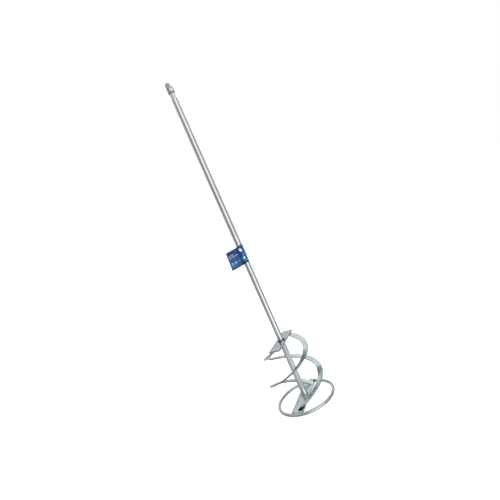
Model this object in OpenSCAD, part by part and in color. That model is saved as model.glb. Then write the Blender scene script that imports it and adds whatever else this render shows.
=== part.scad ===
// Mixing paddle for mortar: a long round shaft with a hexagonal shank, and a welded head of two
// flat crossbars, two right-handed helical blades and a wire ring. Millimetres, +Z up the shaft.
// The origin is on the shaft's axis, level with the underside of the ring.

/* [Shaft] */
// Diameter of the round shaft
shaft_d = 10; // [8:0.5:12]
// Height at which the round shaft turns into the hexagonal shank
shaft_top = 540.5; // [440:0.5:640]
// Width of the shank across its flats
shank_flats = 8; // [7:0.1:8]
// Length of the hexagonal shank
shank_len = 19; // [18:0.5:30]
// Height of the shaft's lower end
shaft_foot = 0.8; // [0.6:0.1:1.6]

/* [Ring] */
// Outer diameter of the wire ring
ring_d = 100; // [92:1:120]
// Diameter of the ring's wire
wire_d = 5; // [4:0.5:6]

/* [Crossbars] */
// Thickness of both crossbars
bar_t = 3; // [2:0.5:4]
// Length of the lower crossbar
low_bar_len = 90; // [80:0.5:92]
// Width of the lower crossbar
low_bar_w = 20; // [18:0.5:24]
// Distance of the lower crossbar's middle line from the shaft's axis
low_bar_shift = 1.6; // [0:0.1:2]
// Height of the lower crossbar's underside
low_bar_z = 3.6; // [2:0.1:5]
// Length of the upper crossbar
high_bar_len = 82; // [76:1:90]
// Width of the upper crossbar
high_bar_w = 20; // [16:1:24]
// Height of the upper crossbar's underside
high_bar_z = 102; // [80:1:130]
// Turn of the upper crossbar from the lower one
high_bar_turn = 2.5; // [0:0.5:5]
// Slant of the upper crossbar's ends from square
high_bar_slant = 8; // [0:1:15]

/* [Blades] */
// Width of the blade strip
blade_w = 10; // [7:0.5:12]
// Thickness of the blade strip
blade_t = 2.2; // [1.5:0.1:3]
// Radius of a blade's outer edge under the upper crossbar
blade_top_r = 31.5; // [30:0.5:38]
// Radius of a blade's outer edge at its foot
blade_foot_r = 38; // [36:0.5:44]
// How far the blades belly out between their ends
blade_belly = 12; // [6:0.5:13]
// Unevenness of the belly, which is fullest below its middle
blade_skew = 1.2; // [0:0.1:1.5]
// Lift of the strip's outer edge
blade_lift = 8; // [0:1:15]
// Turn of each blade from its top to its foot
blade_turn = 352; // [340:1:370]
// Bearing of blade A's top end
blade_a_from = -19; // [-25:1:0]
// Bearing of blade B's top end
blade_b_from = 179; // [170:1:190]
// Distance of the blades' own axis from the shaft's axis
blade_runout = 0.5; // [0:0.1:1.5]

/* [Label] */
// Height of the label's middle, where it leaves the shaft
label_z = 258.6; // [200:0.1:400]
// Height of the label
label_h = 30.7; // [20:0.1:40]
// Reach of the label's free end from the shaft's axis
label_reach = 26.4; // [16:0.1:34]
// Angle by which the label's free end hangs down
label_droop = 4.8; // [0:0.1:8]
// How much higher the label sits on the far side of the shaft
label_climb = 3; // [0:0.1:4]
// Slant of the label's free end from upright
label_slant = 3.3; // [0:0.1:8]
// Direction in which the label's free end points
label_dir = 115.2; // [0:0.1:360]

/* [Cap] */
// Outer diameter of the cap's skirt
cap_d = 11.4; // [11.3:0.1:14]
// Height of the skirt
cap_skirt_h = 10.4; // [9:0.1:13]
// Diameter of the narrower nose
cap_nose_d = 8.6; // [7:0.1:9]
// Height of the nose above the skirt
cap_nose_h = 8.3; // [6:0.1:10]
// Shift of the nose from the cap's axis
cap_nose_shift = 1.2; // [0:0.1:1.3]

/* [Hidden] */

$fn = 96;
far = 200;

shaft_r = shaft_d / 2;
shank_top = shaft_top + shank_len;
shank_corner_d = shank_flats / cos(30);
shank_taper_h = 2;
shaft_chamfer = 0.6;

wire_r = wire_d / 2;
ring_r = ring_d / 2 - wire_r;
ring_gap = 0.05;

low_bar_top = low_bar_z + bar_t;
hub_hole_d = shaft_d + 0.1;

// blades: the strip's middle line runs from the upper crossbar's underside to the lower one's top
blade_steps = 84;
blade_spare = 12;
blade_drop = high_bar_z - low_bar_top;
runout_dir = 115;

bead_r = 1.4;
hub_weld_w = 2.4;
hub_weld_h = 2.6;
under_weld_w = 1.7;
ring_bead_r = 1.7;
ring_bead_span = 11;

label_t = 0.25;
label_meet = 7.6;
label_steps = 48;

cap_edge = 2.2;
cap_bottom = shank_top + cap_edge + 0.1 - cap_skirt_h;
cap_bore_d = 10;
cap_roof = 0.4;
cap_bore_h = shank_top - cap_bottom + cap_roof;
cap_pocket_d = 5.2;
cap_pocket_h = 4.6;

zinc = [0.66, 0.69, 0.71];
dark_zinc = [0.22, 0.24, 0.26];
print_blue = [0.10, 0.27, 0.60];
cap_grey = [0.60, 0.60, 0.60];

// Radius of a blade's outer edge after the share s of its drop
function blade_outer_r(s) =
    blade_top_r + (blade_foot_r - blade_top_r) * s + blade_belly * sin(180 * s)
        + blade_skew * (sin(360 * s) - sin(540 * s) + sin(720 * s));

// Middle line of the strip: its radius, and how steeply it falls, after the share s of its drop
function blade_mid_r(s) = blade_outer_r(s) - blade_w / 2 * cos(blade_lift);
function blade_fall(s) = atan(blade_drop / (blade_turn * PI / 180 * blade_mid_r(s)));

// The strip's two cross directions at bearing a: across its width, and square to its face
function strip_up(a, fall) = [sin(fall) * sin(a), -sin(fall) * cos(a), cos(fall)];
function strip_across(a, fall) =
    cos(blade_lift) * [cos(a), sin(a), 0] + sin(blade_lift) * strip_up(a, fall);
function strip_normal(a, fall) =
    cos(blade_lift) * strip_up(a, fall) - sin(blade_lift) * [cos(a), sin(a), 0];

// Middle of the strip at bearing a, and the four corners of its section there
function strip_middle(s, a) =
    [blade_mid_r(s) * cos(a), blade_mid_r(s) * sin(a), high_bar_z - blade_drop * s];
function strip_section(s, a, fall) = [
    for (c = [[-1, -1], [1, -1], [1, 1], [-1, 1]])
        strip_middle(s, a) + c[0] * blade_w / 2 * strip_across(a, fall)
            + c[1] * blade_t / 2 * strip_normal(a, fall)
];

// Helical strip that starts at bearing from and falls clockwise, with some spare at both ends
module helical_strip(from) {
    points = [
        for (i = [0 : blade_steps])
            let (sweep = (blade_turn + 2 * blade_spare) * i / blade_steps - blade_spare)
                let (s = sweep / blade_turn)
                    each strip_section(s, from - sweep, blade_fall(s))
    ];
    sides = [
        for (i = [0 : blade_steps - 1], k = [0 : 3])
            let (a = 4 * i + k, b = 4 * i + (k + 1) % 4)
                each [[a, b, b + 4], [a, b + 4, a + 4]]
    ];
    ends = [[3, 2, 1, 0], [for (k = [0 : 3]) 4 * blade_steps + k]];
    polyhedron(points = points, faces = concat(sides, ends), convexity = 6);
}

module blade(from) {
    intersection() {
        translate(blade_runout * [cos(runout_dir), sin(runout_dir), 0]) helical_strip(from);
        translate([-far / 2, -far / 2, low_bar_top]) cube([far, far, blade_drop]);
    }
}

// Straight weld bead with round ends, lying along +X and centred on the origin
module bead(length, r) {
    rotate([0, 90, 0]) cylinder(h = length - 2 * r, r = r, center = true, $fn = 32);
    for (side = [-1, 1]) translate([side * (length / 2 - r), 0, 0]) sphere(r, $fn = 32);
}

// Fillet weld round the shaft: its foot lies on the plane Z = 0 and it leans on the shaft
module shaft_fillet(w, h) {
    rotate_extrude() translate([shaft_r, 0])
        polygon([[0, 0], [w, 0], [w, h * 0.28], [w * 0.45, h * 0.85], [w * 0.2, h], [0, h]]);
}

// Bead that points away from the shaft, at bearing a, with its middle at radius r and height z
module cross_bead(a, r, z, length, thick_r) {
    rotate([0, 0, a]) translate([r, 0, z]) bead(length, thick_r);
}

module shaft() {
    color(zinc) {
        translate([0, 0, shaft_foot]) cylinder(h = shaft_top - shaft_foot, d = shaft_d);
        translate([0, 0, shaft_top])
            cylinder(h = shaft_chamfer, d1 = shaft_d, d2 = shaft_d - 2 * shaft_chamfer);
        intersection() {
            translate([0, 0, shaft_top]) rotate([0, 0, 30])
                cylinder(h = shank_len, d = shank_corner_d, $fn = 6);
            union() {
                cylinder(h = shank_top - shank_taper_h, d = shank_corner_d + 1);
                translate([0, 0, shank_top - shank_taper_h])
                    cylinder(h = shank_taper_h, d1 = shank_corner_d + 1, d2 = shank_flats - 1);
            }
        }
    }
}

module wire_torus(extra = 0) {
    translate([0, 0, wire_r]) rotate_extrude()
        translate([ring_r, 0]) circle(wire_r + extra, $fn = 48);
}

module bottom_ring() {
    color(zinc) wire_torus();
}

// Lump where the ends of the bent wire were joined, on top of the ring
module ring_closing_weld() {
    color(zinc) rotate([0, 0, 62]) translate([ring_r, 0, wire_r + 0.5]) rotate([0, 0, 90])
        bead(4.6, 2.25);
}

module lower_crossbar() {
    color(zinc) difference() {
        translate([-low_bar_len / 2, low_bar_shift - low_bar_w / 2, low_bar_z])
            cube([low_bar_len, low_bar_w, bar_t]);
        wire_torus(ring_gap);
        translate([0, 0, low_bar_z - 1]) cylinder(h = bar_t + 2, d = hub_hole_d);
    }
}

module upper_crossbar() {
    slant = high_bar_w / 2 * tan(high_bar_slant);
    half = high_bar_len / 2;
    color(zinc) rotate([0, 0, high_bar_turn]) translate([0, 0, high_bar_z])
        linear_extrude(bar_t) difference() {
            polygon([
                [-half - slant, -high_bar_w / 2], [half - slant, -high_bar_w / 2],
                [half + slant, high_bar_w / 2], [-half + slant, high_bar_w / 2]
            ]);
            circle(d = hub_hole_d);
        }
}

module helical_blade_a() {
    color(zinc) blade(blade_a_from);
}

module helical_blade_b() {
    color(zinc) blade(blade_b_from);
}

module upper_hub_weld_top() {
    color(dark_zinc) translate([0, 0, high_bar_z + bar_t]) shaft_fillet(hub_weld_w, hub_weld_h);
}

module upper_hub_weld_under() {
    color(dark_zinc) translate([0, 0, high_bar_z]) mirror([0, 0, 1])
        shaft_fillet(under_weld_w, under_weld_w);
}

module lower_hub_weld_top() {
    color(dark_zinc) translate([0, 0, low_bar_top]) shaft_fillet(hub_weld_w, hub_weld_h);
}

module lower_hub_weld_under() {
    color(dark_zinc) translate([0, 0, low_bar_z]) mirror([0, 0, 1])
        shaft_fillet(under_weld_w, low_bar_z - shaft_foot);
}

// Bead along the strip's scarfed top end, at a turn from it and a dip below the crossbar
module top_bead(from, turn, dip) {
    cross_bead(from + turn, blade_mid_r(0), high_bar_z - dip, blade_w - 1, bead_r);
}

module blade_a_top_weld() {
    color(dark_zinc) {
        cross_bead(blade_a_from - 1, blade_mid_r(0) - 1, high_bar_z + 0.3, 6, bead_r);
        top_bead(blade_a_from, 7.5, 0.3);
    }
}

module blade_b_top_weld() {
    color(dark_zinc) {
        top_bead(blade_b_from, -8, 0.6);
        top_bead(blade_b_from, 6.5, 0.3);
    }
}

// Slim bead on the lower crossbar, under the strip where it comes down
module foot_bead(end) {
    cross_bead(end + 5.5, blade_mid_r(1), low_bar_top + 0.6, blade_w - 1.6, bead_r);
}

// Bearing of the foot of the blade that starts at bearing from
function foot_bearing(from) = from - blade_turn;

// Slim bead and a short one at the strip's outer corner
module blade_a_foot_weld() {
    end = foot_bearing(blade_a_from);
    color(dark_zinc) {
        foot_bead(end);
        cross_bead(end - 2.6, blade_foot_r - 0.2, low_bar_top + 0.2, 6.4, 1.5);
    }
}

// Slim bead and a heavy patch of two, which runs out to the ring
module blade_b_foot_weld() {
    end = foot_bearing(blade_b_from);
    color(dark_zinc) {
        foot_bead(end);
        for (side = [-1, 1])
            cross_bead(end + 2.8 * side - 2.2, blade_foot_r + 2.3, low_bar_top - 0.1, 9, 1.5);
    }
}

// Curved bead in the groove between the lower crossbar's end and the ring
module ring_weld(bearing) {
    rotate([0, 0, bearing - ring_bead_span]) translate([0, 0, low_bar_top - 1.2])
        rotate_extrude(angle = 2 * ring_bead_span)
            translate([ring_r - wire_r + 1.1, 0]) circle(ring_bead_r, $fn = 32);
}

module ring_weld_right() {
    color(dark_zinc) ring_weld(asin(low_bar_shift / ring_r));
}

module ring_weld_left() {
    color(dark_zinc) ring_weld(180 - asin(low_bar_shift / ring_r));
}

// Bearing at which a straight side leaves a loop of radius r for a point at reach, touching it
function touch_bearing(r, reach) = acos(r / reach);

// Points round a loop of radius r, between the two bearings where its straight sides leave it
function loop_points(r, touch) = [
    for (i = [0 : label_steps])
        let (a = touch + (360 - 2 * touch) * i / label_steps) r * [cos(a), sin(a)]
];

// Adhesive label wrapped round the shaft and stuck to itself as a two-layer flag
module wrap_label() {
    inner_r = shaft_r / cos(180 / label_steps);
    outer_r = inner_r + label_t;
    fold = label_meet + 2 * label_t;
    color(print_blue) rotate([0, 0, label_dir]) intersection() {
        linear_extrude(label_z + label_h) difference() {
            polygon(concat(
                loop_points(outer_r, touch_bearing(outer_r, fold)),
                [[fold, -label_t], [far, -label_t], [far, label_t], [fold, label_t]]
            ));
            polygon(concat(
                loop_points(inner_r, touch_bearing(inner_r, label_meet)), [[label_meet, 0]]
            ));
        }
        translate([0, 0, label_z]) rotate([90, 0, 0])
            linear_extrude(far, center = true) label_outline();
    }
}

// The label seen square to its flag: it climbs over the shaft, and its free end hangs down
module label_outline() {
    half = label_h / 2;
    lean = half * tan(label_slant);
    hang = (label_reach - label_meet) * tan(label_droop);
    polygon([
        [-label_meet, label_climb - half], [0, 0.65 * label_climb - half], [label_meet, -half],
        [label_reach + lean, -hang - half], [label_reach - lean, -hang + half],
        [label_meet, half], [0, 0.65 * label_climb + half], [-label_meet, label_climb + half]
    ]);
}

// Push-on thimble that covers the shank, with a narrower crooked nose
module shank_cap() {
    skirt_r = cap_d / 2;
    nose_r = cap_nose_d / 2;
    color(cap_grey) translate([0, 0, cap_bottom]) difference() {
        union() {
            rotate_extrude() {
                square([skirt_r, cap_skirt_h - cap_edge]);
                square([skirt_r - cap_edge, cap_skirt_h]);
                translate([skirt_r - cap_edge, cap_skirt_h - cap_edge]) circle(cap_edge, $fn = 32);
            }
            translate([cap_nose_shift * cos(label_dir), cap_nose_shift * sin(label_dir), 0]) {
                cylinder(h = cap_skirt_h + cap_nose_h - nose_r, r = nose_r);
                translate([0, 0, cap_skirt_h + cap_nose_h - nose_r]) sphere(nose_r);
            }
        }
        translate([0, 0, -1]) cylinder(h = cap_bore_h + 1, d = cap_bore_d);
        cylinder(h = cap_bore_h + cap_pocket_h, d = cap_pocket_d);
    }
}

shaft();
lower_crossbar();
upper_crossbar();
bottom_ring();
ring_closing_weld();
helical_blade_a();
helical_blade_b();
upper_hub_weld_top();
upper_hub_weld_under();
lower_hub_weld_top();
lower_hub_weld_under();
blade_a_top_weld();
blade_b_top_weld();
blade_a_foot_weld();
blade_b_foot_weld();
ring_weld_right();
ring_weld_left();
wrap_label();
shank_cap();
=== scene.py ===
import math

import bmesh
import bpy
from mathutils import Matrix, Vector, noise


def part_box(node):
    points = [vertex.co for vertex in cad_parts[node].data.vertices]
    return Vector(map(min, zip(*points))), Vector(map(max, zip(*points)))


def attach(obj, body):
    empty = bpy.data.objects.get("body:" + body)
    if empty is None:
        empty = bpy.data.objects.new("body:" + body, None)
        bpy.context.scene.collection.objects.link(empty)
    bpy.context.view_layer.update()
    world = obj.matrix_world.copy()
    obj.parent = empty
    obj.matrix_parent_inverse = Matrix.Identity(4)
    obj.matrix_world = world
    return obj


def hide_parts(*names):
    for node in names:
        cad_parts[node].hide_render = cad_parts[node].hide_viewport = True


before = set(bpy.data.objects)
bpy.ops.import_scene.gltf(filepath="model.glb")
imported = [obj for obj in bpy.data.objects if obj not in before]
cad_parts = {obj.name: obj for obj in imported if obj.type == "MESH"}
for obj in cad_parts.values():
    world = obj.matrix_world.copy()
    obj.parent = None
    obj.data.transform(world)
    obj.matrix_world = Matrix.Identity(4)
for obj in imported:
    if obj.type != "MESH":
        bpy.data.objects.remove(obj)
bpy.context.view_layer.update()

MM = 0.001

# Sizes that part.scad sets, in millimetres, and bearings in degrees
SHAFT_R = 5.0
SHAFT_TOP = 540.5
SHOULDER_H = 0.6
SHANK_FLATS = 8.0
LEAD_IN_R = 3.5
LEAD_IN_SLOPE = 0.81
HUB_HOLE_R = 5.05
BAR_T = 3.0
HIGH_BAR_LEN = 82.0
HIGH_BAR_W = 20.0
HIGH_BAR_TURN = 2.5
HIGH_BAR_SLANT = 8.0
BLADE_W = 10.0
BLADE_T = 2.2
BLADE_TOP_R = 31.5
BLADE_FOOT_R = 38.0
BLADE_BELLY = 12.0
BLADE_SKEW = 1.2
BLADE_LIFT = math.radians(8)
BLADE_TURN = 352.0
BLADE_SPARE = 12.0
BLADE_RUNOUT = 0.5
BLADE_FROM = {"a": -19.0, "b": 179.0}
RING_R = 47.5
WIRE_R = 2.5
RING_BEAD_R = 1.7
RING_BEAD_SPAN = 11.0
CLOSING_BEAD_FROM = 59.2
CLOSING_BEAD_TO = 64.8
BEAD_R = 1.4
LABEL_DIR = math.radians(115.2)
LABEL_Z = 258.6
LABEL_H = 30.7
LABEL_REACH = 26.4
LABEL_DROOP = math.tan(math.radians(4.8))
LABEL_CLIMB = 3.0
LABEL_SLANT = math.tan(math.radians(3.3))
LABEL_MEET = 7.6
FRONT_CLIMB = 0.65 * LABEL_CLIMB
BACK_CLIMB = 0.35 * LABEL_CLIMB
CAP_SKIRT_H = 10.4
CAP_EDGE = 2.2
CAP_NOSE_R = 4.3
CAP_NOSE_SHIFT = 1.2
CAP_BORE_R = 5.0

# Sizes that only the visual model has, in millimetres
SHEAR_ROLL = 0.45
PLATE_WAVE = 0.12
BLADE_ROUND = 0.5
HUB_BEAD_R = 0.85
HUB_BEAD_OFF = 0.6
CLOSING_BEAD_R = 2.35
FILM_HALF_T = 0.1
CAP_FOOT_ROUND = 0.35
CAP_SEAM_DEPTH = 0.06

# Bearings of the two lumps on the upper hub's bead, and how far their dark colour spreads, in degrees;
# the dark is partly scorch, partly painted reflection of the shaft's dark bands
HUB_LUMPS = (178, 256)
DARK_SPREAD_HALF = 24

# Bearing of the cap's moulding seam, in radians
CAP_SEAM_AT = 0.9

# Points round a weld bead
BEAD_SIDES = 24

# Directions: the way the camera looks, its right, straight up, and out to the label's free end
LOOK = Vector((0.9048, 0.4258, 0.0))
RIGHT = Vector((0.4258, -0.9048, 0.0))
UP = Vector((0.0, 0.0, 1.0))
LABEL_WAY = Vector((math.cos(LABEL_DIR), math.sin(LABEL_DIR), 0.0))

# The camera's lean, its distances from the paddle's axis in millimetres, and its lens
CAMERA_LEAN = math.radians(23.85)
CAMERA_BACK = 523.3
CAMERA_ASIDE = 13.4
CAMERA_HEIGHT = 261.8
CAMERA_LENS = 22.75


def low(node):
    """Height of a CAD node's lowest point, in millimetres."""
    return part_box(node)[0].z / MM


def high(node):
    """Height of a CAD node's highest point, in millimetres."""
    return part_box(node)[1].z / MM


HIGH_BAR_Z = low("upper_crossbar")
LOW_BAR_TOP = high("lower_crossbar")
HIGH_BAR_TOP = HIGH_BAR_Z + BAR_T


# ---------------------------------------------------------------- node helpers

class Graph:
    """Adds and links shader nodes in one tree."""

    def __init__(self, tree):
        self.tree = tree

    def feed(self, socket, value):
        """Links an output to a socket, or sets the socket's value."""
        if isinstance(value, bpy.types.NodeSocket):
            self.tree.links.new(value, socket)
        else:
            socket.default_value = value

    def add(self, kind, inputs=None, **settings):
        """A new node with its settings, and with its inputs linked or set."""
        node = self.tree.nodes.new(kind)
        for key, value in settings.items():
            setattr(node, key, value)
        for key, value in (inputs or {}).items():
            self.feed(node.inputs[key], value)
        return node

    def math(self, operation, a, b=0.0):
        """The result of one operation on one or two numbers."""
        return self.add("ShaderNodeMath", {0: a, 1: b}, operation=operation).outputs[0]

    def total(self, *values):
        result = values[0]
        for value in values[1:]:
            result = self.math("ADD", result, value)
        return result

    def product(self, *values):
        result = values[0]
        for value in values[1:]:
            result = self.math("MULTIPLY", result, value)
        return result

    def step(self, value, start, end):
        """0 where value is at start or before it, 1 at end or beyond, and smooth between."""
        inputs = {"Value": value, "From Min": start, "From Max": end}
        node = self.add("ShaderNodeMapRange", inputs, interpolation_type="SMOOTHSTEP")
        return node.outputs[0]

    def span(self, value, start, end, soft):
        """1 between start and end and 0 outside, with edges soft wide."""
        rising = self.step(value, start - soft, start + soft)
        falling = self.step(value, end + soft, end - soft)
        return self.product(rising, falling)

    def near(self, place, spot, radius):
        """1 at a spot given in millimetres, fading to 0 past the radius."""
        apart = self.add("ShaderNodeVectorMath", {0: place, 1: spot * MM}, operation="DISTANCE")
        return self.step(apart.outputs["Value"], radius * MM * 1.5, radius * MM * 0.35)

    def mix(self, factor, a, b):
        """A colour that goes from a to b as the factor goes from 0 to 1."""
        node = self.add("ShaderNodeMix", data_type="RGBA")
        self.feed(node.inputs[0], factor)
        self.feed(node.inputs[6], a)
        self.feed(node.inputs[7], b)
        return node.outputs[2]

    def noise(self, vector, scale, detail=3.0, roughness=0.55):
        inputs = {"Vector": vector, "Scale": scale, "Detail": detail, "Roughness": roughness}
        return self.add("ShaderNodeTexNoise", inputs).outputs["Fac"]

    def stretched(self, vector, scale):
        """Coordinates scaled on their own in x, y and z."""
        return self.add("ShaderNodeMapping", {"Vector": vector, "Scale": scale}).outputs[0]

    def lerp(self, factor, a, b):
        """A number that goes from a to b as the factor goes from 0 to 1."""
        inputs = {"Value": factor, "To Min": a, "To Max": b}
        return self.add("ShaderNodeMapRange", inputs).outputs[0]

    def bump(self, height, strength, distance, normal=None):
        """A normal tilted by a height, which may add to another bump's normal."""
        inputs = {"Height": height, "Strength": strength, "Distance": distance}
        node = self.add("ShaderNodeBump", inputs)
        if normal is not None:
            self.feed(node.inputs["Normal"], normal)
        return node.outputs[0]


# Grey for painted shade and painted dark reflections on the zinc
PAINTED_SHADE_GREY = (0.2, 0.235, 0.26, 1)

# How finely scratches repeat in x, y and z, on rolled plate and on drawn bar
ROLLED = (1400.0, 1400.0, 220.0)
DRAWN = (900.0, 900.0, 30.0)

# Height at which the shaft's dull, paler part starts, and how softly, in millimetres
DULL_FROM = 22.0
DULL_SOFT = 6.0

# Painted shade and painted dark reflections as (place, radius, depth), in millimetres
# Painted reflection of the shaft's dark bands in the upper bar, beside the hub
PAINTED_SHADE_HIGH = (
    (Vector((-8.6, -2.4, HIGH_BAR_TOP)), 3.6, 1.0), (Vector((-3, -7.5, HIGH_BAR_TOP)), 2.8, 0.6),
)
# Painted shadow and reflection of the parts above blade a
PAINTED_SHADE_A = (
    (Vector((-22.0, -31.0, 75.5)), 8.0, 1.0), (Vector((-29.0, -24.5, 71.8)), 3.4, 1.0),
    (Vector((-36.0, -21.5, 68.8)), 6.0, 0.85), (Vector((-41.5, -11.5, 64.5)), 6.0, 0.7),
)
# Painted dark reflection along the blades' edges
PAINTED_SHADE_EDGE = (
    (Vector((-24.5, -35.6, 75.0)), 5.0, 0.7), (Vector((-35.2, -27.2, 69.8)), 8.0, 1.0),
    (Vector((-43.0, -15.8, 65.0)), 8.0, 1.0), (Vector((-47.0, -2.1, 60.5)), 7.0, 0.6),
)
# Painted shadow and reflection on blade b, mostly near its foot
PAINTED_SHADE_B = (
    (Vector((14.5, -37.0, 36.5)), 7.5, 0.85), (Vector((-17.0, -26.5, 20.0)), 5.5, 0.75),
    (Vector((-24.5, -19.0, 15.0)), 5.5, 0.75),
)


def grey(value, tint=0.0):
    """A neutral colour, or one with less red."""
    return (value * (1 - tint), value, value * (1 + tint * 0.3), 1.0)


def material(name):
    """A new material with its graph, its shader and its object coordinates."""
    made = bpy.data.materials.new(name)
    made.use_nodes = True
    graph = Graph(made.node_tree)
    shader = made.node_tree.nodes["Principled BSDF"]
    place = graph.add("ShaderNodeTexCoord").outputs["Object"]
    return made, graph, shader, place


# ---------------------------------------------------------------- materials

def zinc_plate(name, tones, rough, along=ROLLED, painted_shade=(), tint=0.1, dull=0.0):
    """Bright zinc plating with a cloudy tone, fine grain, scratches, and spots of painted shade and
    painted dark reflection.

    Tones and rough are each a range. Dull roughens and pales the shaft between the crossbars.
    """
    made, g, shader, place = material(name)
    cloud = g.noise(place, 55.0, 5.0, 0.6)
    spots = g.noise(place, 420.0, 3.0, 0.6)
    lines = g.noise(g.stretched(place, along), 1.0, 4.0, 0.65)
    tone = g.total(g.product(cloud, 0.6), g.product(spots, 0.25), g.product(lines, 0.15))
    worn = g.step(g.noise(place, 130.0, 6.0, 0.7), 0.6, 0.72)
    colour = g.mix(g.step(tone, 0.36, 0.64), grey(tones[0], tint), grey(tones[1], tint * 0.8))
    colour = g.mix(g.product(worn, 0.3), colour, grey(tones[0] * 0.8, tint))
    gloss = g.total(g.product(cloud, 0.5), g.product(lines, 0.3), g.product(worn, 0.2))
    roughness = g.lerp(gloss, rough[0], rough[1])
    if dull:
        height = g.add("ShaderNodeSeparateXYZ", {0: place}).outputs[2]
        between_bars = g.span(height, DULL_FROM * MM, HIGH_BAR_Z * MM, DULL_SOFT * MM)
        roughness = g.total(roughness, g.product(between_bars, dull))
        colour = g.mix(g.product(between_bars, 0.8), colour, grey(0.8, tint))
    # Spots of painted shade and painted dark reflection
    for spot, radius, depth in painted_shade:
        colour = g.mix(g.product(g.near(place, spot, radius), depth), colour, PAINTED_SHADE_GREY)
    g.feed(shader.inputs["Base Color"], colour)
    g.feed(shader.inputs["Roughness"], roughness)
    shader.inputs["Metallic"].default_value = 1.0
    coarse = g.bump(cloud, 0.25, 0.0004)
    fine = g.bump(lines, 0.18, 0.00006, coarse)
    g.feed(shader.inputs["Normal"], g.bump(spots, 0.2, 0.00005, fine))
    return made


def weld_metal(name, tone):
    """Rippled weld beads under a dark scale, with brighter metal rubbed free on the crests."""
    made, g, shader, place = material(name)
    crust = g.noise(place, 620.0, 6.0, 0.7)
    patch = g.noise(place, 160.0, 3.0, 0.5)
    colour = g.mix(g.step(patch, 0.4, 0.65), grey(tone, 0.2), grey(tone * 1.8, 0.15))
    g.feed(shader.inputs["Base Color"], g.mix(g.step(crust, 0.62, 0.75), colour, grey(tone * 2.6, 0.1)))
    shader.inputs["Metallic"].default_value = 0.85
    g.feed(shader.inputs["Roughness"], g.lerp(crust, 0.3, 0.68))
    g.feed(shader.inputs["Normal"], g.bump(crust, 0.5, 0.00025))
    return made


def grey_plastic():
    """Moulded grey plastic with a fine grain, a few scuffs, painted shade on the nose's tip and one
    painted highlight on the skirt.
    """
    made, g, shader, place = material("cap_plastic")
    grain = g.noise(place, 2600.0, 3.0, 0.6)
    cloud = g.noise(place, 240.0, 4.0, 0.6)
    scuff = g.step(g.noise(g.stretched(place, (300.0, 300.0, 1500.0)), 1.0, 4.0, 0.6), 0.6, 0.72)
    colour = g.mix(cloud, grey(0.23), grey(0.3, 0.01))
    # Painted shade on the nose's tip
    shaded_tip = LABEL_WAY * CAP_NOSE_SHIFT + UP * (high("shank_cap") + 0.6)
    colour = g.mix(g.product(g.near(place, shaded_tip, 3.4), 0.7), colour, grey(0.09))
    # Painted highlight on the skirt
    painted_highlight = Vector((-4.8, -4.4, low("shank_cap") + 3.8))
    colour = g.mix(g.product(g.near(place, painted_highlight, 3.2), 0.9), colour, grey(0.6))
    g.feed(shader.inputs["Base Color"], g.mix(g.product(scuff, 0.3), colour, grey(0.42)))
    g.feed(shader.inputs["Roughness"], g.lerp(cloud, 0.2, 0.32))
    g.feed(shader.inputs["Normal"], g.bump(grain, 0.25, 0.00006))
    return made


def disc(g, x, y, centre, radius, soft=0.25):
    """1 inside an oval spot, in millimetres; radius gives its two half widths."""
    dx = g.math("DIVIDE", g.math("SUBTRACT", x, centre[0]), radius[0])
    dy = g.math("DIVIDE", g.math("SUBTRACT", y, centre[1]), radius[1])
    reach = g.math("SQRT", g.total(g.product(dx, dx), g.product(dy, dy)))
    return g.step(reach, 1 + soft / radius[0], 1 - soft / radius[0])


def block(g, x, y, x_span, y_span, soft=0.12):
    """1 inside an upright rectangle, in millimetres."""
    return g.product(g.span(x, *x_span, soft), g.span(y, *y_span, soft))


def print_finish(g, shader, place, colour):
    """Satin printed film: a faint mottle in the ink, and paper fibres under it."""
    mottle = g.noise(place, 900.0, 4.0, 0.6)
    fibre = g.noise(place, 2200.0, 2.0, 0.5)
    g.feed(shader.inputs["Base Color"], g.mix(g.product(mottle, 0.18), colour, (0.02, 0.04, 0.1, 1)))
    g.feed(shader.inputs["Roughness"], g.lerp(mottle, 0.28, 0.42))
    g.feed(shader.inputs["Normal"], g.bump(fibre, 0.15, 0.00004))
    shader.inputs["Specular IOR Level"].default_value = 0.3
    shader.inputs["Coat Weight"].default_value = 0.12
    shader.inputs["Coat Roughness"].default_value = 0.15


NAVY = (0.006, 0.032, 0.12, 1)
DEEP_BLUE = (0.01, 0.055, 0.2, 1)
MID_BLUE = (0.012, 0.085, 0.235, 1)
BRIGHT_BLUE = (0.035, 0.165, 0.45, 1)
INK = (0.004, 0.006, 0.012, 1)
PALE = (0.3, 0.42, 0.6, 1)
WHITE = (0.86, 0.9, 0.94, 1)
CYAN = (0.36, 0.68, 0.86, 1)
DUSK = (0.1, 0.2, 0.31, 1)


def label_axes(g, place):
    """Distances in millimetres along the label and across it, following its bends."""
    axes = g.add("ShaderNodeSeparateXYZ", {0: place})
    x = g.product(axes.outputs[0], 1000.0)
    past = g.math("MAXIMUM", g.math("SUBTRACT", x, LABEL_MEET), 0.0)
    short = g.math("MINIMUM", g.math("MAXIMUM", g.math("SUBTRACT", LABEL_MEET, x), 0.0), LABEL_MEET)
    beyond = g.math("MAXIMUM", g.product(x, -1.0), 0.0)
    y = g.total(
        g.product(axes.outputs[2], 1000.0), g.product(past, LABEL_DROOP),
        g.product(short, -FRONT_CLIMB / LABEL_MEET), g.product(beyond, -BACK_CLIMB / LABEL_MEET),
    )
    return x, y


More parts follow.
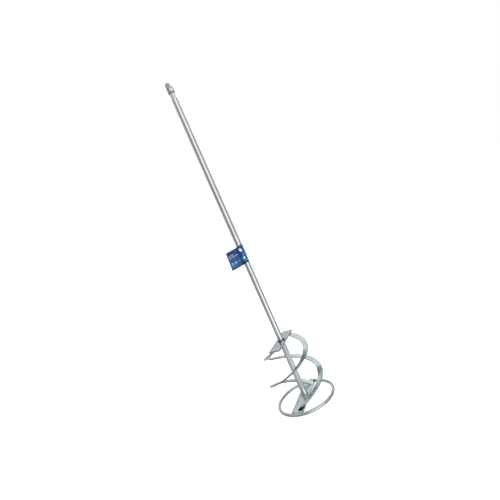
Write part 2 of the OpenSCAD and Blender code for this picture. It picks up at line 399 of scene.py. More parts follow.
def label_front():
    """The label's front: plain bands, a dark panel, a pale rule and round spots."""
    made, g, shader, place = material("label_front_print")
    x, y = label_axes(g, place)
    fade = g.step(g.noise(place, 260.0, 2.0, 0.5), 0.35, 0.65)
    colour = g.mix(g.step(y, 5.5, 3.5), DEEP_BLUE, g.mix(fade, MID_BLUE, DEEP_BLUE))
    colour = g.mix(g.product(g.step(y, 10.5, 12.0), g.step(x, 11.0, 15.0)), colour, NAVY)
    lit = g.product(g.step(y, -8.0, -10.0), g.step(x, 12.0, 17.0), 0.45)
    colour = g.mix(lit, colour, BRIGHT_BLUE)
    colour = g.mix(block(g, x, y, (13.6, 25.4), (6.2, 11.0), 0.2), colour, INK)
    for start, width in ((15.0, 3.4), (19.2, 1.6), (21.6, 2.6)):
        colour = g.mix(block(g, x, y, (start, start + width), (7.3, 9.2)), colour, PALE)
    colour = g.mix(block(g, x, y, (7.6, 25.0), (4.1, 5.5), 0.15), colour, PALE)
    for centre, tint in (((22.1, -5.7), PALE), ((15.7, -5.6), PALE), ((8.9, -5.1), DUSK)):
        colour = g.mix(disc(g, x, y, centre, (2.2, 2.2)), colour, tint)
        colour = g.mix(disc(g, x, y, centre, (1.0, 1.0)), colour, MID_BLUE)
    for start in (20.5, 13.5):
        colour = g.mix(block(g, x, y, (start, start + 3.4), (-0.9, 0.1), 0.3), colour, BRIGHT_BLUE)
    colour = g.mix(g.step(y, -12.6, -13.0), colour, INK)
    for start in (8.2, 9.6, 11.0):
        colour = g.mix(block(g, x, y, (start, start + 0.8), (-14.4, -13.6)), colour, PALE)
    slanted = g.total(x, g.product(y, -0.35))
    colour = g.mix(disc(g, slanted, y, (-1.5, 8.0), (2.1, 3.5)), colour, WHITE)
    colour = g.mix(g.product(g.step(x, 3.4, 2.4), g.span(y, -2.6, 1.2, 0.8)), colour, BRIGHT_BLUE)
    colour = g.mix(disc(g, x, y, (0.5, -6.2), (2.3, 2.3)), colour, CYAN)
    colour = g.mix(g.product(g.step(x, 3.0, 2.0), g.span(y, -12.4, -9.4, 0.4)), colour, BRIGHT_BLUE)
    print_finish(g, shader, place, colour)
    return made


def label_back():
    """The label's back: a plain blue field with a pale panel of ruled bars."""
    made, g, shader, place = material("label_back_print")
    x, y = label_axes(g, place)
    colour = g.mix(g.step(y, -3.0, 6.0), MID_BLUE, DEEP_BLUE)
    colour = g.mix(block(g, x, y, (9.0, 24.4), (-11.0, 2.0), 0.15), colour, WHITE)
    for height, end in ((0.2, 22.6), (-1.6, 20.0), (-3.4, 21.6), (-5.2, 16.4)):
        colour = g.mix(block(g, x, y, (10.4, end), (height - 0.7, height), 0.1), colour, MID_BLUE)
    for height in (5.0, 8.6):
        colour = g.mix(block(g, x, y, (9.6, 23.6), (height, height + 0.9), 0.15), colour, PALE)
    colour = g.mix(g.step(y, -12.6, -13.0), colour, INK)
    print_finish(g, shader, place, colour)
    return made


def label_edge():
    """The pale cut edge of the film."""
    made, g, shader, place = material("label_cut_edge")
    fibre = g.noise(place, 1800.0, 3.0, 0.6)
    g.feed(shader.inputs["Base Color"], g.mix(fibre, grey(0.55), grey(0.85)))
    g.feed(shader.inputs["Roughness"], g.lerp(fibre, 0.6, 0.85))
    return made


# ---------------------------------------------------------------- mesh helpers

def grid_faces(rows, cols, closed=False):
    """Quads of a grid whose columns close on themselves, as do its rows if closed."""
    faces = []
    for row in range(rows if closed else rows - 1):
        near, far = row * cols, (row + 1) % rows * cols
        for col in range(cols):
            after = (col + 1) % cols
            faces.append((near + col, near + after, far + after, far + col))
    return faces


def end_faces(rows, cols):
    """The two faces that close the first and the last row of a grid."""
    last = (rows - 1) * cols
    return [tuple(range(cols))[::-1], tuple(range(last, last + cols))]


def build_mesh(name, points, faces, sharp=35):
    """A mesh from points in millimetres, with its faces turned outwards."""
    mesh = bpy.data.meshes.new(name)
    mesh.from_pydata([Vector(point) * MM for point in points], [], faces)
    shape = bmesh.new()
    shape.from_mesh(mesh)
    bmesh.ops.recalc_face_normals(shape, faces=shape.faces)
    shape.to_mesh(mesh)
    shape.free()
    mesh.shade_smooth()
    mesh.set_sharp_from_angle(angle=math.radians(sharp))
    return mesh


def place_piece(mesh, body, slot, nodes, *finishes):
    """Shows a mesh as a piece that rides on a body and stands for some CAD nodes."""
    finish_piece(bpy.data.objects.new(mesh.name, mesh), body, slot, nodes, *finishes)


def finish_piece(piece, body, slot, nodes, *finishes):
    """Gives a piece its materials, its body and the CAD nodes it stands for."""
    bpy.context.scene.collection.objects.link(piece)
    for finish in finishes:
        piece.data.materials.append(finish)
    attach(piece, body)
    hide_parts(*nodes)


def rounded_outline(corners, radius, arc, side):
    """(point, outward normal) round a convex outline that runs anticlockwise, with round corners."""
    count = len(corners)
    outline = []
    for index, corner in enumerate(corners):
        before = (corner - corners[index - 1]).normalized()
        after = (corners[(index + 1) % count] - corner).normalized()
        start = math.atan2(-before.x, before.y)
        turn = before.angle_signed(after, 0.0) * -1
        inward = (after - before).normalized() * radius / math.cos(turn / 2)
        fillet = [start + turn * i / arc for i in range(arc + 1)]
        normals = [Vector((math.cos(a), math.sin(a))) for a in fillet]
        outline += [(corner + inward + normal * radius, normal) for normal in normals]
        end = outline[-1][0]
        following = corners[(index + 1) % count] - after * radius * math.tan(turn / 2)
        for i in range(1, side):
            outline.append((end.lerp(following, i / side), normals[-1]))
    return outline


def wobble(point, size, seed):
    """Smooth noise between about -1 and 1 whose bumps are size millimetres wide."""
    return noise.noise(Vector(point) / size + Vector((seed * 7.3, seed * 3.1, seed * 1.7)))


# ---------------------------------------------------------------- pieces

def hex_radius(angle, flats):
    """Distance from the axis to a hexagon's side at an angle, with a flat at angle 0."""
    return flats / 2 / math.cos((angle + math.radians(30)) % math.radians(60) - math.radians(30))


def shaft_radius(z, angle, shoulder_end, top):
    """The bar's radius: round below the shoulder, then a hexagon with a turned lead-in."""
    if z <= SHAFT_TOP:
        return SHAFT_R
    corner = hex_radius(angle, SHANK_FLATS)
    if z <= shoulder_end:
        return max(corner, SHAFT_R - (z - SHAFT_TOP))
    return min(corner, LEAD_IN_R + (top - z) * LEAD_IN_SLOPE)


def shaft_piece(finishes):
    """The round bar with its hexagonal shank, which has the second finish."""
    foot, top = low("shaft"), high("shaft")
    shoulder_end = SHAFT_TOP + SHOULDER_H
    chamfer = 0.4
    heights = [foot + chamfer + i * 15.0 for i in range(36)]
    heights = [z for z in heights if z < SHAFT_TOP - 2] + [SHAFT_TOP - 0.3, SHAFT_TOP]
    heights += [SHAFT_TOP + 0.2, SHAFT_TOP + 0.4, shoulder_end, shoulder_end + 0.05]
    heights += [SHAFT_TOP + 3 + i * 3.0 for i in range(5)]
    heights += [top - 2 + i * 0.2 for i in range(11)]
    count = 96
    angles = [math.tau * i / count for i in range(count)]
    foot_r = SHAFT_R - chamfer
    points = [(foot_r * math.cos(a), foot_r * math.sin(a), foot) for a in angles]
    for z in heights:
        for a in angles:
            r = shaft_radius(z, a, shoulder_end, top)
            points.append((r * math.cos(a), r * math.sin(a), z))
    rows = len(heights) + 1
    mesh = build_mesh("shaft_rod", points, grid_faces(rows, count) + end_faces(rows, count), 22)
    for face in mesh.polygons:
        face.material_index = 1 if face.center.z > SHAFT_TOP * MM else 0
    place_piece(mesh, "paddle", "zinc_steel", ["shaft"], *finishes)


def plate_piece(name, node, corners, turn, finishes, seed):
    """A sheared flat bar with a hole for the shaft, rolled edges and a wavy top.

    Its sheared sides have the second finish.
    """
    bottom, top = low(node), high(node)
    outline = rounded_outline(corners, 0.3, 4, 16)
    spin = Matrix.Rotation(math.radians(turn), 2)
    roll = SHEAR_ROLL
    rings = [(t, 0.0, top) for t in (0.0, 0.02, 0.15, 0.3, 0.5, 0.7, 0.85, 0.95)]
    rolled = [math.radians(angle) for angle in (0, 15, 30, 45, 60, 75, 90)]
    rings += [(1.0, roll * (1 - math.sin(a)), top - roll * (1 - math.cos(a))) for a in rolled]
    rings += [(1.0, roll * (1 - math.cos(a)), bottom + roll * (1 - math.sin(a))) for a in rolled]
    rings += [(t, 0.0, bottom) for t in (0.7, 0.3, 0.0)]
    points = []
    for share, inset, z in rings:
        for spot, normal in outline:
            rim = spot - normal * (inset if share == 1.0 else roll)
            hole = spot.normalized() * HUB_HOLE_R
            flat = spin @ hole.lerp(rim, share)
            wave = wobble((flat.x, flat.y, 0), 14, seed) * min(1.0, share * 2)
            lift = PLATE_WAVE * (wave - 1) if z > bottom + 1 else 0.0
            points.append((flat.x, flat.y, z + lift))
    cols = len(outline)
    mesh = build_mesh(name, points, grid_faces(len(rings), cols, True), 40)
    for face in mesh.polygons:
        face.material_index = 1 if abs(face.normal.z) < 0.6 else 0
    place_piece(mesh, "paddle", "zinc_steel", [node], *finishes)


def lower_bar_piece(finishes):
    """The bar inside the ring, as wide as its CAD node's box."""
    a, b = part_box("lower_crossbar")
    corners = [Vector(spot) / MM for spot in ((a.x, a.y), (b.x, a.y), (b.x, b.y), (a.x, b.y))]
    plate_piece("lower_crossbar_plate", "lower_crossbar", corners, 0.0, finishes, 1)


def upper_bar_piece(finishes):
    """The bar over the blades, with slanted ends."""
    half_y = HIGH_BAR_W / 2
    slant = half_y * math.tan(math.radians(HIGH_BAR_SLANT))
    half_x = HIGH_BAR_LEN / 2
    signs = ((-1, -1), (1, -1), (1, 1), (-1, 1))
    corners = [Vector((x * half_x + y * slant, y * half_y)) for x, y in signs]
    plate_piece("upper_crossbar_plate", "upper_crossbar", corners, HIGH_BAR_TURN, finishes, 2)


def blade_outer_r(s):
    """Radius of a blade's outer edge after the share s of its drop."""
    turn = math.pi * s
    skew = math.sin(2 * turn) - math.sin(3 * turn) + math.sin(4 * turn)
    straight = BLADE_TOP_R + (BLADE_FOOT_R - BLADE_TOP_R) * s
    return straight + BLADE_BELLY * math.sin(turn) + BLADE_SKEW * skew


def blade_section(start, sweep, outline, seed):
    """The strip's section after a sweep in degrees, as points round its edge."""
    s = sweep / BLADE_TURN
    bearing = math.radians(start - sweep)
    outward = Vector((math.cos(bearing), math.sin(bearing), 0))
    drop = HIGH_BAR_Z - LOW_BAR_TOP
    mid_r = blade_outer_r(s) - BLADE_W / 2 * math.cos(BLADE_LIFT)
    fall = math.atan(drop / (math.radians(BLADE_TURN) * mid_r))
    sideways = Vector((math.sin(bearing), -math.cos(bearing), 0))
    upward = sideways * math.sin(fall) + UP * math.cos(fall)
    middle = outward * mid_r + UP * (HIGH_BAR_Z - drop * s)
    unsteady = math.sin(math.pi * min(1.0, max(0.0, s)))
    middle += outward * wobble(middle, 22, seed) * 0.35 * unsteady
    lift = BLADE_LIFT + wobble(middle, 30, seed + 5) * 0.05
    across = outward * math.cos(lift) + upward * math.sin(lift)
    square = upward * math.cos(lift) - outward * math.sin(lift)
    return [middle + across * spot.x + square * spot.y for spot, _ in outline]


def cut_level(mesh):
    """Cuts a strip just inside both crossbars and closes its two ends."""
    shape = bmesh.new()
    shape.from_mesh(mesh)
    for height, way in ((HIGH_BAR_Z + 0.05, 1), (LOW_BAR_TOP - 0.15, -1)):
        everything = shape.verts[:] + shape.edges[:] + shape.faces[:]
        bmesh.ops.bisect_plane(
            shape, geom=everything, plane_co=(0, 0, height * MM),
            plane_no=(0, 0, way), clear_outer=True,
        )
    rims = [edge for edge in shape.edges if edge.is_boundary]
    bmesh.ops.holes_fill(shape, edges=rims, sides=0)
    bmesh.ops.recalc_face_normals(shape, faces=shape.faces)
    shape.to_mesh(mesh)
    shape.free()
    mesh.shade_smooth()
    mesh.set_sharp_from_angle(angle=math.radians(40))


def blade_piece(letter, finishes, seed):
    """A strip bent into nearly one turn of a helix, between the two crossbars.

    Its narrow sides have the second finish.
    """
    half_w, half_t = BLADE_W / 2, BLADE_T / 2
    signs = ((-1, -1), (1, -1), (1, 1), (-1, 1))
    corners = [Vector((x * half_w, y * half_t)) for x, y in signs]
    outline = rounded_outline(corners, BLADE_ROUND, 4, 5)
    steps = 300
    sweeps = [(BLADE_TURN + 2 * BLADE_SPARE) * i / steps - BLADE_SPARE for i in range(steps + 1)]
    aside = LABEL_WAY * BLADE_RUNOUT
    points = []
    for sweep in sweeps:
        section = blade_section(BLADE_FROM[letter], sweep, outline, seed)
        points += [point + aside for point in section]
    faces = grid_faces(steps + 1, len(outline))
    mesh = build_mesh("helical_blade_" + letter + "_strip", points, faces, 40)
    count = len(outline)
    for index, face in enumerate(mesh.polygons):
        around = outline[index % count][1] + outline[(index + 1) % count][1]
        face.material_index = 1 if abs(around.x) > abs(around.y) else 0
    cut_level(mesh)
    place_piece(mesh, "paddle", "zinc_steel", ["helical_blade_" + letter], *finishes)


def ring_piece(finish):
    """The bent wire ring, very slightly out of true, never beyond its CAD box."""
    around, count = 288, 32
    points = []
    for i in range(around):
        bearing = math.tau * i / around
        outward = Vector((math.cos(bearing), math.sin(bearing), 0))
        middle = outward * (RING_R - abs(wobble(outward * RING_R, 30, 3)) * 0.25)
        for j in range(count):
            a = math.tau * j / count
            dent = 0.012 * abs(wobble(middle + outward * WIRE_R * math.cos(a), 6, 4))
            around_wire = outward * math.cos(a) + UP * math.sin(a)
            points.append(middle + UP * WIRE_R + around_wire * WIRE_R * (1 - dent))
    mesh = build_mesh("bottom_ring_wire", points, grid_faces(around, count, True), 60)
    place_piece(mesh, "paddle", "zinc_steel", ["bottom_ring"], finish)


def bead_rows(path, radius, seed, closed=False, squat=1.0, pitch=1.15):
    """Points of a lumpy, rippled weld bead along a path, in a ring round each point of the path."""
    rows = []
    lengths = [0.0]
    for i in range(1, len(path)):
        lengths.append(lengths[-1] + (path[i] - path[i - 1]).length)
    for i, centre in enumerate(path):
        ahead = path[(i + 1) % len(path)] if closed or i < len(path) - 1 else path[i]
        behind = path[i - 1] if closed or i > 0 else path[i]
        along = (ahead - behind).normalized()
        aside = along.cross(UP).normalized()
        upright = aside.cross(along)
        size = radius(lengths[i]) if callable(radius) else radius
        edge = min(lengths[i], lengths[-1] - lengths[i])
        if not closed and edge < size:
            size *= math.sqrt(max(0.0, 1 - (1 - edge / size) ** 2)) * 0.98 + 0.02
        for j in range(BEAD_SIDES):
            a = math.tau * j / BEAD_SIDES
            swirl = math.tau * lengths[i] / pitch - 1.8 * abs(math.cos(a))
            ripple = 0.045 * math.cos(swirl)
            shape = aside * math.cos(a) + upright * math.sin(a) * squat
            lump = wobble(centre + shape * size, 1.9, seed) * 0.16
            rows.append(centre + shape * size * (1 + ripple + lump))
    return rows


def turn_between(bearing, other):
    """The smaller angle between two bearings, in degrees."""
    return abs((bearing - other + 180) % 360 - 180)


def weld_piece(name, node, beads, *finishes, closed=False, scorch_and_shade=()):
    """One or more beads as one piece; each is (path, radius, height for its width).

    The second finish is for the bearings that are scorched and carry painted shade.
    """
    points, faces = [], []
    for index, (path, radius, squat) in enumerate(beads):
        rows = bead_rows(path, radius, len(name) + index * 3, closed, squat)
        shift = len(points)
        found = grid_faces(len(path), BEAD_SIDES, closed)
        if not closed:
            found += end_faces(len(path), BEAD_SIDES)
        faces += [tuple(corner + shift for corner in face) for face in found]
        points += rows
    mesh = build_mesh(name, points, faces, 60)
    for face in mesh.polygons:
        bearing = math.degrees(math.atan2(face.center.y, face.center.x))
        if any(turn_between(bearing, place) < DARK_SPREAD_HALF for place in scorch_and_shade):
            face.material_index = 1
    place_piece(mesh, "paddle", "weld_metal", [node], *finishes)


def arc_path(radius, z, start, end, steps):
    """Points along an arc round the shaft, between two bearings in degrees."""
    bearings = [math.radians(start + (end - start) * i / steps) for i in range(steps + 1)]
    return [Vector((radius * math.cos(b), radius * math.sin(b), z)) for b in bearings]


def spoke_path(bearing, middle, length, z, steps=30):
    """Points along a straight line that points away from the shaft."""
    b = math.radians(bearing)
    outward = Vector((math.cos(b), math.sin(b), 0))
    reach = [middle + length * (i / steps - 0.5) for i in range(steps + 1)]
    return [outward * r + UP * z for r in reach]


def hub_weld(name, node, z, finishes, heavy=()):
    """A bead right round the shaft, thicker at some bearings and darker there: partly scorch, partly
    painted reflection.
    """
    steps = 150
    middle_r = SHAFT_R + HUB_BEAD_OFF
    path = arc_path(middle_r, z, 0, 360 - 360 / (steps + 1), steps)

    def radius(length):
        bearing = math.degrees(length / middle_r)
        extra = sum(math.exp(-(turn_between(bearing, place) / 20) ** 2) for place in heavy)
        return HUB_BEAD_R * (1 + 1.3 * extra)

    weld_piece(name, node, [(path, radius, 1.0)], *finishes, closed=True, scorch_and_shade=heavy)


def blade_welds(finish, scorch_and_shade):
    """The beads at both ends of both blades, near black at the feet: partly scorch, partly painted
    shade and dark reflection.

    Each bead is (bearing, radius of its middle, length, height, own radius, height for its width).
    """
    top_r = BLADE_TOP_R - BLADE_W / 2
    foot_r = BLADE_FOOT_R - BLADE_W / 2
    patch_r = BLADE_FOOT_R + 2.3
    a_top, b_top = BLADE_FROM["a"], BLADE_FROM["b"]
    a_foot, b_foot = a_top - BLADE_TURN, b_top - BLADE_TURN
    under_bar = HIGH_BAR_Z - 0.3
    over_bar = LOW_BAR_TOP + 0.6
    patch_z = LOW_BAR_TOP - 0.1
    welds = (
        # The tops' dark weld scale is partly painted shade under the upper bar
        ("blade_a_top", finish, (
            (a_top - 1, top_r - 1, 6.0, HIGH_BAR_Z + 0.3, BEAD_R, 1.0),
            (a_top + 7.5, top_r, 9.0, under_bar, BEAD_R, 1.0),
        )),
        ("blade_b_top", finish, (
            (b_top - 8, top_r, 9.0, HIGH_BAR_Z - 0.6, BEAD_R, 1.0),
            (b_top + 6.5, top_r, 9.0, under_bar, BEAD_R, 1.0),
        )),
        # The feet's near-black scorch is partly painted shade where the blades meet the lower bar
        ("blade_a_foot", scorch_and_shade, (
            (a_foot + 5.5, foot_r, 8.4, over_bar, BEAD_R, 1.0),
            (a_foot - 2.6, BLADE_FOOT_R - 0.2, 6.4, LOW_BAR_TOP + 0.2, 1.6, 1.0),
        )),
        ("blade_b_foot", scorch_and_shade, (
            (b_foot + 5.5, foot_r, 8.4, over_bar, BEAD_R, 1.0),
            (b_foot - 5.0, patch_r + 1.0, 6.0, patch_z, 1.7, 0.9),
            (b_foot - 2.4, patch_r + 0.2, 8.6, patch_z, 1.9, 0.95),
            (b_foot + 0.4, patch_r - 1.0, 7.4, patch_z, 1.7, 0.9),
        )),
    )
    for name, metal, rows in welds:
        beads = [(spoke_path(*row[:4]), row[4], row[5]) for row in rows]
        weld_piece(name + "_bead", name + "_weld", beads, metal)


def ring_welds(finish):
    """The beads between the lower crossbar's ends and the ring, and the ring's closing weld."""
    z = LOW_BAR_TOP - 1.2
    r = RING_R - WIRE_R + 1.1
    least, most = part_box("lower_crossbar")
    lean = math.degrees(math.asin((least.y + most.y) / 2 / MM / RING_R))
    for side, bearing in (("right", lean), ("left", 180 - lean)):
        path = arc_path(r, z, bearing - RING_BEAD_SPAN, bearing + RING_BEAD_SPAN, 44)
        weld_piece("ring_bead_" + side, "ring_weld_" + side, [(path, RING_BEAD_R, 1.0)], finish)
    path = arc_path(RING_R, WIRE_R + 0.4, CLOSING_BEAD_FROM, CLOSING_BEAD_TO, 24)
    beads = [(path, CLOSING_BEAD_R, 1.0)]
    weld_piece("ring_closing_bead", "ring_closing_weld", beads, finish)


def label_section(reach):
    """The film's middle line across the shaft, from one free end round to the other."""
    gap = 0.12
    film_r = SHAFT_R + 0.12
    meet = math.acos(film_r / LABEL_MEET)
    steps = 14
    line = [Vector((reach + (LABEL_MEET - reach) * i / steps, gap)) for i in range(steps + 1)]
    around = [meet + (math.tau - 2 * meet) * i / 44 for i in range(45)]
    loop = [Vector((film_r * math.cos(a), film_r * math.sin(a))) for a in around]
    back = [Vector((point.x, -point.y)) for point in reversed(line)]
    return line + loop + back


def label_middle(x):
    """Height of the label's middle line: it climbs round the shaft and hangs at its free end."""
    if x > LABEL_MEET:
        return -(x - LABEL_MEET) * LABEL_DROOP
    if x > 0:
        return FRONT_CLIMB * (1 - x / LABEL_MEET)
    return FRONT_CLIMB - BACK_CLIMB * x / LABEL_MEET


def label_curl(x, share):
    """How far the free end bends aside, for a height share from -1 to 1."""
    free = max(0.0, (x - LABEL_MEET) / (LABEL_REACH - LABEL_MEET))
    curl = free ** 2 * (0.6 + 0.5 * share ** 2 - 0.35 * share)
    return curl + 0.2 * free * math.sin(x * 0.42 + share * 1.8)


def label_piece(*finishes):
    """A wrapped film label, stuck to itself as a flag that hangs and curls a little."""
    half, rows = LABEL_H / 2, 22
    points = []
    for row in range(rows + 1):
        share = 2 * row / rows - 1
        line = label_section(LABEL_REACH - share * half * LABEL_SLANT)
        outer, inner = [], []
        for i, spot in enumerate(line):
            ahead, behind = line[min(i + 1, len(line) - 1)], line[max(i - 1, 0)]
            along = (ahead - behind).normalized()
            across = Vector((along.y, -along.x)) * FILM_HALF_T
            height = label_middle(spot.x) + share * half
            aside = Vector((0, label_curl(spot.x, share)))
            outer.append((spot + across + aside).to_3d() + UP * height)
            inner.append((spot - across + aside).to_3d() + UP * height)
        points += outer + inner[::-1]
    cols = len(line) * 2
    ends = []
    for base in (0, rows * cols):
        for i in range(len(line) - 1):
            ends.append((base + i, base + i + 1, base + cols - 2 - i, base + cols - 1 - i))
    mesh = build_mesh("wrap_label_film", points, grid_faces(rows + 1, cols) + ends, 50)
    middle = len(line) // 2
    for index, face in enumerate(mesh.polygons):
        col = index % cols
        if index >= rows * cols or col in (len(line) - 1, cols - 1):
            face.material_index = 2
        elif middle <= col < len(line) + middle:
            face.material_index = 1
    label = bpy.data.objects.new(mesh.name, mesh)
    label.matrix_world = Matrix.Translation(UP * LABEL_Z * MM) @ Matrix.Rotation(LABEL_DIR, 4, "Z")
    finish_piece(label, "paddle", "printed_label", ["wrap_label"], *finishes)


def cap_point(z, a, bottom, top, skirt_r):
    """A point on the cap's outside: the wider of its skirt and its nose, which stands aside."""
    shoulder = bottom + CAP_SKIRT_H
    dome = top - CAP_NOSE_R
    centre = LABEL_WAY.to_2d() * CAP_NOSE_SHIFT
    way = Vector((math.cos(a), math.sin(a)))
    across = centre.dot(way)
    nose = across + math.sqrt(CAP_NOSE_R ** 2 - CAP_NOSE_SHIFT ** 2 + across ** 2)
    drop = max(0.0, z - (shoulder - CAP_EDGE)) / CAP_EDGE
    skirt = skirt_r
    if drop > 0:
        skirt -= CAP_EDGE * (1 - math.sqrt(max(0.0, 1 - min(drop, 1.0) ** 2)))
    if drop > 1:
        skirt -= (drop - 1) * 9
    foot = bottom + CAP_FOOT_ROUND - z
    if foot > 0:
        skirt -= CAP_FOOT_ROUND - math.sqrt(max(0.0, CAP_FOOT_ROUND ** 2 - foot ** 2))
    r = (skirt + nose + math.sqrt((skirt - nose) ** 2 + 0.12)) / 2
    if drop <= 0:
        seam = math.exp(-(math.sin(a - CAP_SEAM_AT) / 0.05) ** 2)
        r = skirt - CAP_SEAM_DEPTH * (1 - seam)
    shrink = math.sqrt(max(0.0, 1 - (max(0.0, z - dome) / (top - dome)) ** 2))
    spot = centre + (way * r - centre) * shrink
    return (spot.x, spot.y, z)


def cap_piece(finish):
    """A moulded thimble with a bore, a rolled shoulder and a narrower crooked nose."""
    bottom, top = low("shank_cap"), high("shank_cap")
    skirt_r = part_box("shank_cap")[1].x / MM
    shoulder = bottom + CAP_SKIRT_H
    heights = [bottom, bottom + 0.08, bottom + 0.18, bottom + CAP_FOOT_ROUND]
    heights += [bottom + 0.4 + (CAP_SKIRT_H - CAP_EDGE - 0.45) * i / 6 for i in range(7)]
    heights += [shoulder + CAP_EDGE * (i / 12 - 1) for i in range(19)]
    heights += [shoulder + 1.7, shoulder + 2.4, shoulder + 3.2]
    dome = top - CAP_NOSE_R
    heights += [dome + CAP_NOSE_R * math.sin(math.radians(7.5 * i)) for i in range(12)]
    roof = high("shaft") + 0.4
    inside = [(bottom, CAP_BORE_R + 0.25), (bottom + 0.25, CAP_BORE_R), (bottom + 4, CAP_BORE_R)]
    inside += [(roof - 0.5, CAP_BORE_R), (roof - 0.1, CAP_BORE_R - 0.15), (roof, CAP_BORE_R - 0.6)]
    angles = [math.tau * i / 96 for i in range(96)]
    points = []
    for z, r in reversed(inside):
        points += [(r * math.cos(a), r * math.sin(a), z) for a in angles]
    for z in heights:
        points += [cap_point(z, a, bottom, top, skirt_r) for a in angles]
    points += [cap_point(top - 0.01, a, bottom, top, skirt_r) for a in angles]
    rows = len(heights) + len(inside) + 1
    faces = grid_faces(rows, len(angles)) + end_faces(rows, len(angles))
    mesh = build_mesh("shank_cap_shell", points, faces, 50)
    place_piece(mesh, "cap", "grey_plastic", ["shank_cap"], finish)


# ---------------------------------------------------------------- studio

def studio_world():
    """A white backdrop for the camera, and grey walls that only reflections show.

    The walls have a softbox at the front, a bright ceiling, a pale far side and one dark card.
    """
    world = bpy.data.worlds.new("studio")
    bpy.context.scene.world = world
    world.use_nodes = True
    g = Graph(world.node_tree)
    ray = g.add("ShaderNodeTexCoord").outputs["Generated"]
    parts = {}
    for name, axis in (("away", LOOK), ("right", RIGHT), ("up", UP)):
        node = g.add("ShaderNodeVectorMath", {0: ray, 1: axis}, operation="DOT_PRODUCT")
        parts[name] = node.outputs["Value"]
    toward = g.product(parts["away"], -1.0)
    bearing = g.math("ARCTAN2", parts["right"], toward)
    left_edge, right_edge = math.radians(-12), math.radians(56)
    softbox = g.span(bearing, left_edge, right_edge, math.radians(11))
    softbox = g.product(softbox, g.step(parts["up"], -0.75, -0.55), g.step(parts["up"], 0.97, 0.8))
    ceiling = g.product(g.step(parts["up"], 0.25, 0.8), g.step(parts["away"], -0.7, 0.1))
    back = g.step(parts["away"], 0.35, 0.9)
    card_way = LOOK * 0.788 - RIGHT * 0.287 + UP * 0.545
    facing = g.add("ShaderNodeVectorMath", {0: ray, 1: card_way}, operation="DOT_PRODUCT")
    outer, inner = math.cos(math.radians(15)), math.cos(math.radians(5))
    card = g.step(facing.outputs["Value"], outer, inner)
    below = g.step(parts["up"], -0.08, -0.3)
    tone = g.total(
        0.37, g.product(softbox, 0.95), g.product(ceiling, 0.6), g.product(back, 0.25),
        g.product(below, 0.08), g.product(card, -0.42),
    )
    studio = g.add("ShaderNodeBackground", {"Color": grey(1.0, 0.015), "Strength": tone})
    white = g.add("ShaderNodeBackground", {"Color": grey(1.0), "Strength": 1.0})
    camera_ray = g.add("ShaderNodeLightPath").outputs["Is Camera Ray"]
    choice = g.add("ShaderNodeMixShader", {0: camera_ray})
    g.feed(choice.inputs[1], studio.outputs[0])
    g.feed(choice.inputs[2], white.outputs[0])
    g.feed(world.node_tree.nodes["World Output"].inputs["Surface"], choice.outputs[0])


def floor_stage():
    """A wide pale floor that takes only a faint contact shadow and stays out of reflections."""
    mesh = bpy.data.meshes.new("studio_floor")
    half = 30.0
    corners = [(-half, -half, 0), (half, -half, 0), (half, half, 0), (-half, half, 0)]
    mesh.from_pydata(corners, [], [(0, 1, 2, 3)])
    floor = bpy.data.objects.new("studio_floor", mesh)
    bpy.context.scene.collection.objects.link(floor)
    made, g, shader, place = material("studio_floor_white")
    cloud = g.noise(place, 3.0, 3.0, 0.5)
    g.feed(shader.inputs["Base Color"], g.mix(cloud, grey(0.8), grey(0.84)))
    shader.inputs["Roughness"].default_value = 0.9
    shader.inputs["Emission Color"].default_value = grey(1.0)
    shader.inputs["Emission Strength"].default_value = 0.8
    mesh.materials.append(made)
    floor.visible_glossy = False
    floor.visible_diffuse = False


def studio_light(name, place, size, watts, aim):
    """A soft rectangular panel that faces a point."""
    lamp = bpy.data.lights.new(name, "AREA")
    lamp.shape = "RECTANGLE"
    lamp.size, lamp.size_y = size
    lamp.energy = watts
    panel = bpy.data.objects.new(name, lamp)
    bpy.context.scene.collection.objects.link(panel)
    panel.location = place
    panel.visible_glossy = False
    panel.rotation_euler = (Vector(aim) - Vector(place)).to_track_quat("-Z", "Y").to_euler()


def camera():
    """The photograph's view: level, close, and leaning so that the shaft's top tips left."""
    lens = bpy.data.cameras.new("camera")
    lens.lens = CAMERA_LENS
    lens.sensor_width = 36.0
    lens.clip_start, lens.clip_end = 0.01, 100.0
    eye = bpy.data.objects.new("camera", lens)
    bpy.context.scene.collection.objects.link(eye)
    across = RIGHT * math.cos(CAMERA_LEAN) - UP * math.sin(CAMERA_LEAN)
    upward = RIGHT * math.sin(CAMERA_LEAN) + UP * math.cos(CAMERA_LEAN)
    spot = (RIGHT * CAMERA_ASIDE - LOOK * CAMERA_BACK + UP * CAMERA_HEIGHT) * MM
    turn = Matrix((across, upward, -LOOK)).transposed().to_4x4()
    eye.matrix_world = Matrix.Translation(spot) @ turn
    bpy.context.scene.camera = eye


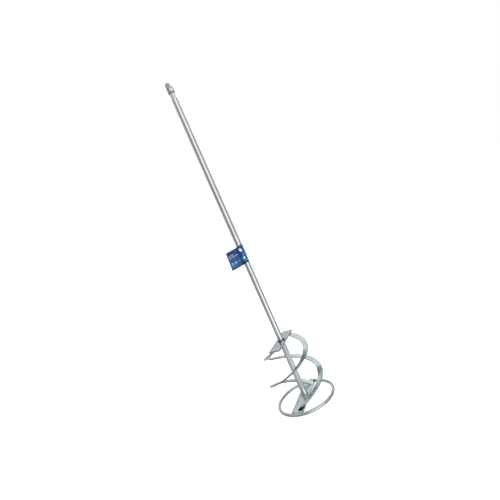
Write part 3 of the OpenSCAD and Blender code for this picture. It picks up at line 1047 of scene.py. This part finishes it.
def build_paddle():
    """Every piece that stays on the shaft."""
    shaft_finish = zinc_plate("shaft_zinc", (0.64, 0.74), (0.14, 0.28), DRAWN, (), 0.05, 0.5)
    shank_finish = zinc_plate("ground_shank", (0.88, 0.95), (0.4, 0.5), DRAWN, (), 0.03)
    high_finish = zinc_plate("upper_bar_zinc", (0.58, 0.7), (0.14, 0.28), painted_shade=PAINTED_SHADE_HIGH)
    low_finish = zinc_plate("lower_bar_zinc", (0.62, 0.74), (0.2, 0.34))
    sheared_finish = zinc_plate("sheared_zinc", (0.52, 0.66), (0.35, 0.5))
    # The blades' narrow sides are rougher, and darker as painted dark reflection
    edge_finish_painted_reflection = zinc_plate("blade_edge_zinc_painted_reflection", (0.4, 0.52), (0.3, 0.5), painted_shade=PAINTED_SHADE_EDGE)
    blade_a_finish = zinc_plate("blade_a_zinc", (0.57, 0.71), (0.14, 0.3), painted_shade=PAINTED_SHADE_A)
    blade_b_finish = zinc_plate("blade_b_zinc", (0.56, 0.69), (0.14, 0.3), painted_shade=PAINTED_SHADE_B)
    ring_finish = zinc_plate("ring_zinc", (0.52, 0.68), (0.2, 0.42))
    plated_weld = weld_metal("plated_weld", 0.4)
    # Dark weld scale and near-black scorch, each partly painted shade where parts meet
    dark_weld_and_shade = weld_metal("weld_scale_and_painted_shade", 0.1)
    scorch_and_shade = weld_metal("scorched_weld_and_painted_shade", 0.012)
    shaft_piece((shaft_finish, shank_finish))
    lower_bar_piece((low_finish, sheared_finish))
    upper_bar_piece((high_finish, sheared_finish))
    blade_piece("a", (blade_a_finish, edge_finish_painted_reflection), 11)
    blade_piece("b", (blade_b_finish, edge_finish_painted_reflection), 17)
    ring_piece(ring_finish)
    welds = (plated_weld, dark_weld_and_shade)
    hub_weld("upper_hub_bead", "upper_hub_weld_top", HIGH_BAR_TOP + 0.4, welds, HUB_LUMPS)
    hub_weld("upper_hub_root", "upper_hub_weld_under", HIGH_BAR_Z - 0.3, welds)
    hub_weld("lower_hub_bead", "lower_hub_weld_top", LOW_BAR_TOP + 0.2, welds)
    hub_weld("lower_hub_root", "lower_hub_weld_under", low("lower_crossbar") - 0.4, welds)
    blade_welds(dark_weld_and_shade, scorch_and_shade)
    ring_welds(plated_weld)
    label_piece(label_front(), label_back(), label_edge())


def build_studio():
    """The white backdrop, the floor, two soft panels and the camera."""
    studio_world()
    floor_stage()
    centre = UP * 0.28
    key = centre - LOOK * 1.0 + RIGHT * 0.9 + UP * 0.5
    studio_light("key_panel", key, (0.7, 1.2), 12.0, centre)
    studio_light("top_panel", centre + UP * 1.3 + LOOK * 0.3, (1.2, 1.2), 10.0, centre)
    camera()
    bpy.context.scene.view_settings.view_transform = "Standard"


build_paddle()
cap_piece(grey_plastic())
build_studio()
